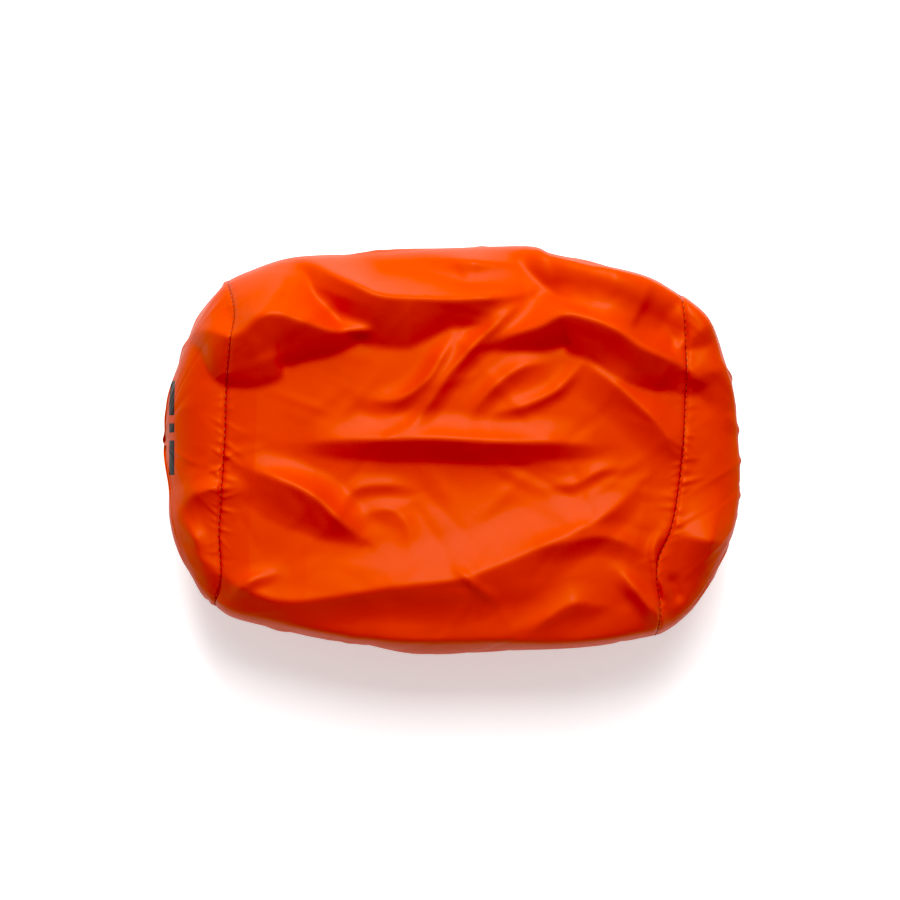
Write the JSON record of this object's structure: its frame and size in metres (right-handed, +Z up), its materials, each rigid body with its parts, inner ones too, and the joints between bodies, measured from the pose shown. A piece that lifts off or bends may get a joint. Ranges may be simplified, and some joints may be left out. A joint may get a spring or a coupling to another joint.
{
  "type": "stuff sack",
  "caption": "Rounded fabric stuff sack lying on its side: closed sewn base, body tube and a gathered mouth end with a hem drawcord and push-button cord lock.",
  "frame": {"origin": "middle of the patch that the sack rests on, at the centre of its overall box", "axes": "+X along the sack towards its mouth, +Y across, +Z up from the resting face"},
  "size_m": [0.2999, 0.2139, 0.115],
  "materials": {
    "body_fabric": "satin coated nylon taffeta",
    "base_fabric": "satin coated nylon taffeta",
    "mouth_fabric": "satin coated nylon taffeta",
    "hem_fabric": "satin coated nylon taffeta, gathered",
    "binding_tape": "woven tape",
    "thread": "twisted polyester thread",
    "label_cloth": "plain woven label",
    "patch": "woven reinforcement",
    "eyelet_metal": "blackened brass",
    "drawcord": "braided polyester cord",
    "lock_plastic": "moulded acetal, fine texture",
    "plunger_plastic": "moulded acetal",
    "spring_steel": "drawn spring wire"
  },
  "bodies": {
    "sack": {"body_panel": "body_fabric", "base_panel": "base_fabric", "mouth_panel": "mouth_fabric", "hem_channel": "hem_fabric", "body_seam_binding": "binding_tape", "base_seam_binding": "binding_tape", "mouth_seam_binding": "binding_tape", "body_seam_thread": "thread", "base_seam_thread": "thread", "mouth_seam_thread": "thread", "hem_thread": "thread", "care_label": "label_cloth", "eyelet_patch": "patch", "cord_eyelet": "eyelet_metal", "drawcord": "drawcord", "lock_barrel": "lock_plastic", "lock_spring": "spring_steel"},
    "plunger": {"lock_plunger": "plunger_plastic"}
  },
  "joints": [
    {"name": "plunger_press", "type": "slide", "parent": "sack", "child": "plunger", "axis": [0, -1, 0], "range_m": [0, 0.0035], "stiffness_N_per_m": 800, "springref_m": -0.002, "deforming": ["lock_spring"]}
  ]
}
